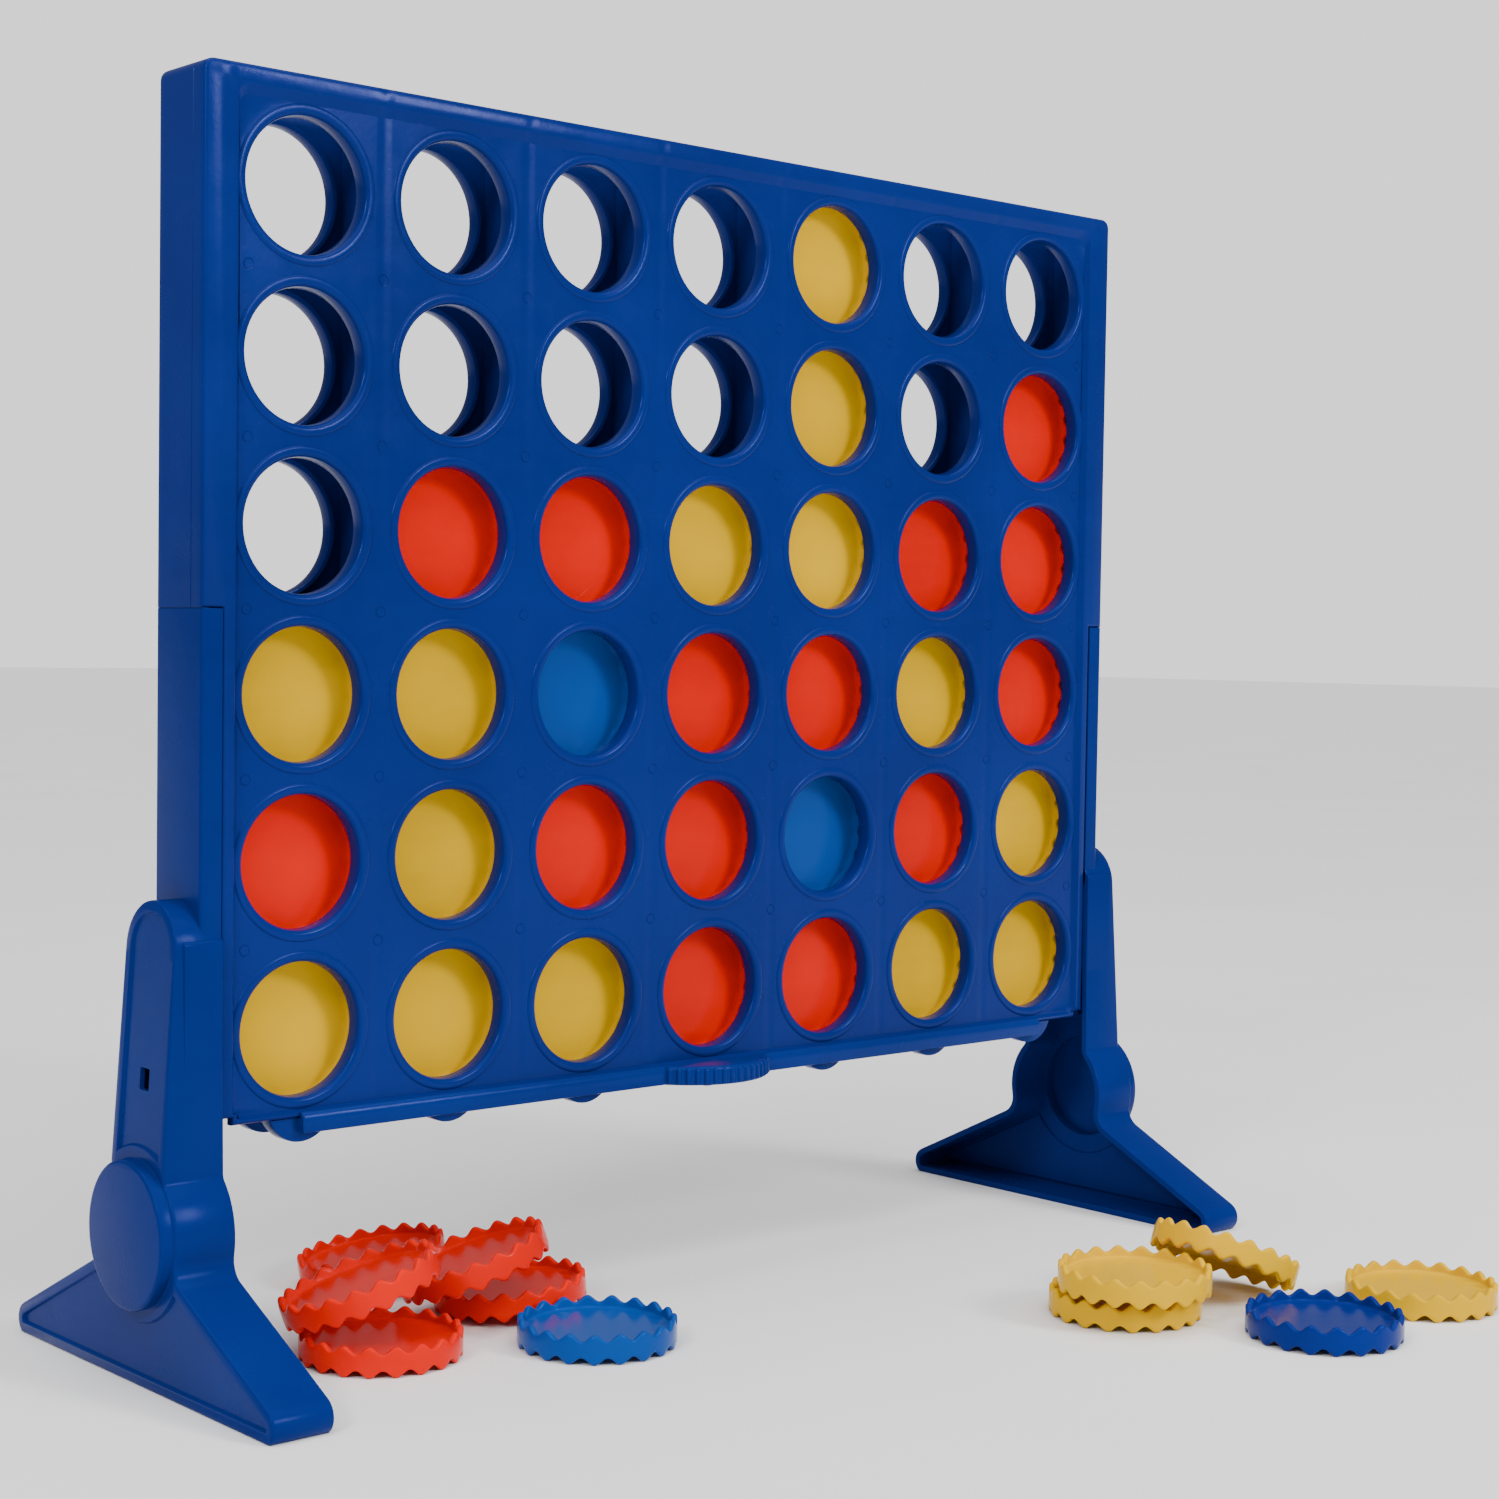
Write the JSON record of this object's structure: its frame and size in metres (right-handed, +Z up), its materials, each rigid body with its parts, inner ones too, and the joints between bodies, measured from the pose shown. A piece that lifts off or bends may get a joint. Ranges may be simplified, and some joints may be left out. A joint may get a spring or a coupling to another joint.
{
  "type": "giant four in a row",
  "caption": "Upright lawn game board with round windows on two splayed feet, a release slider under its columns, and waved discs in the board and on the ground.",
  "frame": {"origin": "on the ground, under the centre of the whole set's bounding box, loose discs included", "axes": "+X along the board to the right as a player at the front sees it, +Y from the front to the back, +Z up"},
  "size_m": [0.634, 0.4396, 0.5696],
  "materials": {
    "frame_blue": "glossy moulded plastic, deep blue",
    "foot_blue": "glossy moulded plastic, deep blue",
    "slider_blue": "glossy moulded plastic, blue",
    "disc_red": "glossy moulded plastic, orange red",
    "disc_yellow": "glossy moulded plastic, yellow",
    "disc_blue": "glossy moulded plastic, blue"
  },
  "bodies": {
    "board": {"front_panel": "frame_blue", "rear_panel": "frame_blue", "left_end_wall": "frame_blue", "right_end_wall": "frame_blue", "column_divider_1": "frame_blue", "column_divider_2": "frame_blue", "column_divider_3": "frame_blue", "column_divider_4": "frame_blue", "column_divider_5": "frame_blue", "column_divider_6": "frame_blue", "left_foot": "foot_blue", "right_foot": "foot_blue"},
    "release_slider": {"release_slider": "slider_blue"},
    "disc_column1_row6_yellow": {"disc_column1_row6_yellow": "disc_yellow"},
    "disc_column1_row5_red": {"disc_column1_row5_red": "disc_red"},
    "disc_column1_row4_yellow": {"disc_column1_row4_yellow": "disc_yellow"},
    "disc_column2_row6_yellow": {"disc_column2_row6_yellow": "disc_yellow"},
    "disc_column2_row5_yellow": {"disc_column2_row5_yellow": "disc_yellow"},
    "disc_column2_row4_yellow": {"disc_column2_row4_yellow": "disc_yellow"},
    "disc_column2_row3_red": {"disc_column2_row3_red": "disc_red"},
    "disc_column3_row6_yellow": {"disc_column3_row6_yellow": "disc_yellow"},
    "disc_column3_row5_red": {"disc_column3_row5_red": "disc_red"},
    "disc_column3_row4_blue": {"disc_column3_row4_blue": "disc_blue"},
    "disc_column3_row3_red": {"disc_column3_row3_red": "disc_red"},
    "disc_column4_row6_red": {"disc_column4_row6_red": "disc_red"},
    "disc_column4_row5_red": {"disc_column4_row5_red": "disc_red"},
    "disc_column4_row4_red": {"disc_column4_row4_red": "disc_red"},
    "disc_column4_row3_yellow": {"disc_column4_row3_yellow": "disc_yellow"},
    "disc_column5_row6_red": {"disc_column5_row6_red": "disc_red"},
    "disc_column5_row5_blue": {"disc_column5_row5_blue": "disc_blue"},
    "disc_column5_row4_red": {"disc_column5_row4_red": "disc_red"},
    "disc_column5_row3_yellow": {"disc_column5_row3_yellow": "disc_yellow"},
    "disc_column5_row2_yellow": {"disc_column5_row2_yellow": "disc_yellow"},
    "disc_column5_row1_yellow": {"disc_column5_row1_yellow": "disc_yellow"},
    "disc_column6_row6_yellow": {"disc_column6_row6_yellow": "disc_yellow"},
    "disc_column6_row5_red": {"disc_column6_row5_red": "disc_red"},
    "disc_column6_row4_yellow": {"disc_column6_row4_yellow": "disc_yellow"},
    "disc_column6_row3_red": {"disc_column6_row3_red": "disc_red"},
    "disc_column7_row6_yellow": {"disc_column7_row6_yellow": "disc_yellow"},
    "disc_column7_row5_yellow": {"disc_column7_row5_yellow": "disc_yellow"},
    "disc_column7_row4_red": {"disc_column7_row4_red": "disc_red"},
    "disc_column7_row3_red": {"disc_column7_row3_red": "disc_red"},
    "disc_column7_row2_red": {"disc_column7_row2_red": "disc_red"},
    "loose_disc_red_a": {"loose_disc_red_a": "disc_red"},
    "loose_disc_red_b": {"loose_disc_red_b": "disc_red"},
    "loose_disc_red_c": {"loose_disc_red_c": "disc_red"},
    "loose_disc_red_e": {"loose_disc_red_e": "disc_red"},
    "loose_disc_red_d": {"loose_disc_red_d": "disc_red"},
    "loose_disc_blue_a": {"loose_disc_blue_a": "disc_blue"},
    "loose_disc_yellow_a": {"loose_disc_yellow_a": "disc_yellow"},
    "loose_disc_yellow_b": {"loose_disc_yellow_b": "disc_yellow"},
    "loose_disc_yellow_c": {"loose_disc_yellow_c": "disc_yellow"},
    "loose_disc_yellow_d": {"loose_disc_yellow_d": "disc_yellow"},
    "loose_disc_blue_b": {"loose_disc_blue_b": "disc_blue"}
  },
  "joints": [
    {"name": "release_slide", "type": "slide", "parent": "board", "child": "release_slider", "axis": [1, 0, 0], "range_m": [-0.0395, 0.0395]},
    {"name": "lift_column1_row6", "type": "slide", "parent": "board", "child": "disc_column1_row6_yellow", "axis": [0, 0, 1], "range_m": [0, 0.462]},
    {"name": "lift_column1_row5", "type": "slide", "parent": "disc_column1_row6_yellow", "child": "disc_column1_row5_red", "axis": [0, 0, 1], "range_m": [0, 0.387]},
    {"name": "lift_column1_row4", "type": "slide", "parent": "disc_column1_row5_red", "child": "disc_column1_row4_yellow", "axis": [0, 0, 1], "range_m": [0, 0.313]},
    {"name": "lift_column2_row6", "type": "slide", "parent": "board", "child": "disc_column2_row6_yellow", "axis": [0, 0, 1], "range_m": [0, 0.462]},
    {"name": "lift_column2_row5", "type": "slide", "parent": "disc_column2_row6_yellow", "child": "disc_column2_row5_yellow", "axis": [0, 0, 1], "range_m": [0, 0.387]},
    {"name": "lift_column2_row4", "type": "slide", "parent": "disc_column2_row5_yellow", "child": "disc_column2_row4_yellow", "axis": [0, 0, 1], "range_m": [0, 0.313]},
    {"name": "lift_column2_row3", "type": "slide", "parent": "disc_column2_row4_yellow", "child": "disc_column2_row3_red", "axis": [0, 0, 1], "range_m": [0, 0.239]},
    {"name": "lift_column3_row6", "type": "slide", "parent": "board", "child": "disc_column3_row6_yellow", "axis": [0, 0, 1], "range_m": [0, 0.462]},
    {"name": "lift_column3_row5", "type": "slide", "parent": "disc_column3_row6_yellow", "child": "disc_column3_row5_red", "axis": [0, 0, 1], "range_m": [0, 0.387]},
    {"name": "lift_column3_row4", "type": "slide", "parent": "disc_column3_row5_red", "child": "disc_column3_row4_blue", "axis": [0, 0, 1], "range_m": [0, 0.313]},
    {"name": "lift_column3_row3", "type": "slide", "parent": "disc_column3_row4_blue", "child": "disc_column3_row3_red", "axis": [0, 0, 1], "range_m": [0, 0.239]},
    {"name": "lift_column4_row6", "type": "slide", "parent": "board", "child": "disc_column4_row6_red", "axis": [0, 0, 1], "range_m": [0, 0.462]},
    {"name": "lift_column4_row5", "type": "slide", "parent": "disc_column4_row6_red", "child": "disc_column4_row5_red", "axis": [0, 0, 1], "range_m": [0, 0.387]},
    {"name": "lift_column4_row4", "type": "slide", "parent": "disc_column4_row5_red", "child": "disc_column4_row4_red", "axis": [0, 0, 1], "range_m": [0, 0.313]},
    {"name": "lift_column4_row3", "type": "slide", "parent": "disc_column4_row4_red", "child": "disc_column4_row3_yellow", "axis": [0, 0, 1], "range_m": [0, 0.239]},
    {"name": "lift_column5_row6", "type": "slide", "parent": "board", "child": "disc_column5_row6_red", "axis": [0, 0, 1], "range_m": [0, 0.462]},
    {"name": "lift_column5_row5", "type": "slide", "parent": "disc_column5_row6_red", "child": "disc_column5_row5_blue", "axis": [0, 0, 1], "range_m": [0, 0.387]},
    {"name": "lift_column5_row4", "type": "slide", "parent": "disc_column5_row5_blue", "child": "disc_column5_row4_red", "axis": [0, 0, 1], "range_m": [0, 0.313]},
    {"name": "lift_column5_row3", "type": "slide", "parent": "disc_column5_row4_red", "child": "disc_column5_row3_yellow", "axis": [0, 0, 1], "range_m": [0, 0.239]},
    {"name": "lift_column5_row2", "type": "slide", "parent": "disc_column5_row3_yellow", "child": "disc_column5_row2_yellow", "axis": [0, 0, 1], "range_m": [0, 0.164]},
    {"name": "lift_column5_row1", "type": "slide", "parent": "disc_column5_row2_yellow", "child": "disc_column5_row1_yellow", "axis": [0, 0, 1], "range_m": [0, 0.09]},
    {"name": "lift_column6_row6", "type": "slide", "parent": "board", "child": "disc_column6_row6_yellow", "axis": [0, 0, 1], "range_m": [0, 0.462]},
    {"name": "lift_column6_row5", "type": "slide", "parent": "disc_column6_row6_yellow", "child": "disc_column6_row5_red", "axis": [0, 0, 1], "range_m": [0, 0.387]},
    {"name": "lift_column6_row4", "type": "slide", "parent": "disc_column6_row5_red", "child": "disc_column6_row4_yellow", "axis": [0, 0, 1], "range_m": [0, 0.313]},
    {"name": "lift_column6_row3", "type": "slide", "parent": "disc_column6_row4_yellow", "child": "disc_column6_row3_red", "axis": [0, 0, 1], "range_m": [0, 0.239]},
    {"name": "lift_column7_row6", "type": "slide", "parent": "board", "child": "disc_column7_row6_yellow", "axis": [0, 0, 1], "range_m": [0, 0.462]},
    {"name": "lift_column7_row5", "type": "slide", "parent": "disc_column7_row6_yellow", "child": "disc_column7_row5_yellow", "axis": [0, 0, 1], "range_m": [0, 0.387]},
    {"name": "lift_column7_row4", "type": "slide", "parent": "disc_column7_row5_yellow", "child": "disc_column7_row4_red", "axis": [0, 0, 1], "range_m": [0, 0.313]},
    {"name": "lift_column7_row3", "type": "slide", "parent": "disc_column7_row4_red", "child": "disc_column7_row3_red", "axis": [0, 0, 1], "range_m": [0, 0.239]},
    {"name": "lift_column7_row2", "type": "slide", "parent": "disc_column7_row3_red", "child": "disc_column7_row2_red", "axis": [0, 0, 1], "range_m": [0, 0.164]},
    {"name": "lift_loose_red_a", "type": "slide", "parent": "board", "child": "loose_disc_red_a", "axis": [0, 0, 1], "range_m": [0, 0.02]},
    {"name": "lift_loose_red_b", "type": "slide", "parent": "loose_disc_red_a", "child": "loose_disc_red_b", "axis": [0, 0, 1], "range_m": [0, 0.02]},
    {"name": "lift_loose_red_c", "type": "slide", "parent": "board", "child": "loose_disc_red_c", "axis": [0, 0, 1], "range_m": [0, 0.1]},
    {"name": "lift_loose_red_e", "type": "slide", "parent": "board", "child": "loose_disc_red_e", "axis": [0, 0, 1], "range_m": [0, 0.02]},
    {"name": "lift_loose_red_d", "type": "slide", "parent": "loose_disc_red_e", "child": "loose_disc_red_d", "axis": [0, 0, 1], "range_m": [0, 0.02]},
    {"name": "lift_loose_blue_a", "type": "slide", "parent": "board", "child": "loose_disc_blue_a", "axis": [0, 0, 1], "range_m": [0, 0.1]},
    {"name": "lift_loose_yellow_a", "type": "slide", "parent": "board", "child": "loose_disc_yellow_a", "axis": [0, 0, 1], "range_m": [0, 0.1]},
    {"name": "lift_loose_yellow_b", "type": "slide", "parent": "loose_disc_yellow_a", "child": "loose_disc_yellow_b", "axis": [0, 0, 1], "range_m": [0, 0.1]},
    {"name": "lift_loose_yellow_c", "type": "slide", "parent": "loose_disc_yellow_b", "child": "loose_disc_yellow_c", "axis": [0, 0, 1], "range_m": [0, 0.1]},
    {"name": "lift_loose_yellow_d", "type": "slide", "parent": "board", "child": "loose_disc_yellow_d", "axis": [0, 0, 1], "range_m": [0, 0.1]},
    {"name": "lift_loose_blue_b", "type": "slide", "parent": "board", "child": "loose_disc_blue_b", "axis": [0, 0, 1], "range_m": [0, 0.1]}
  ]
}
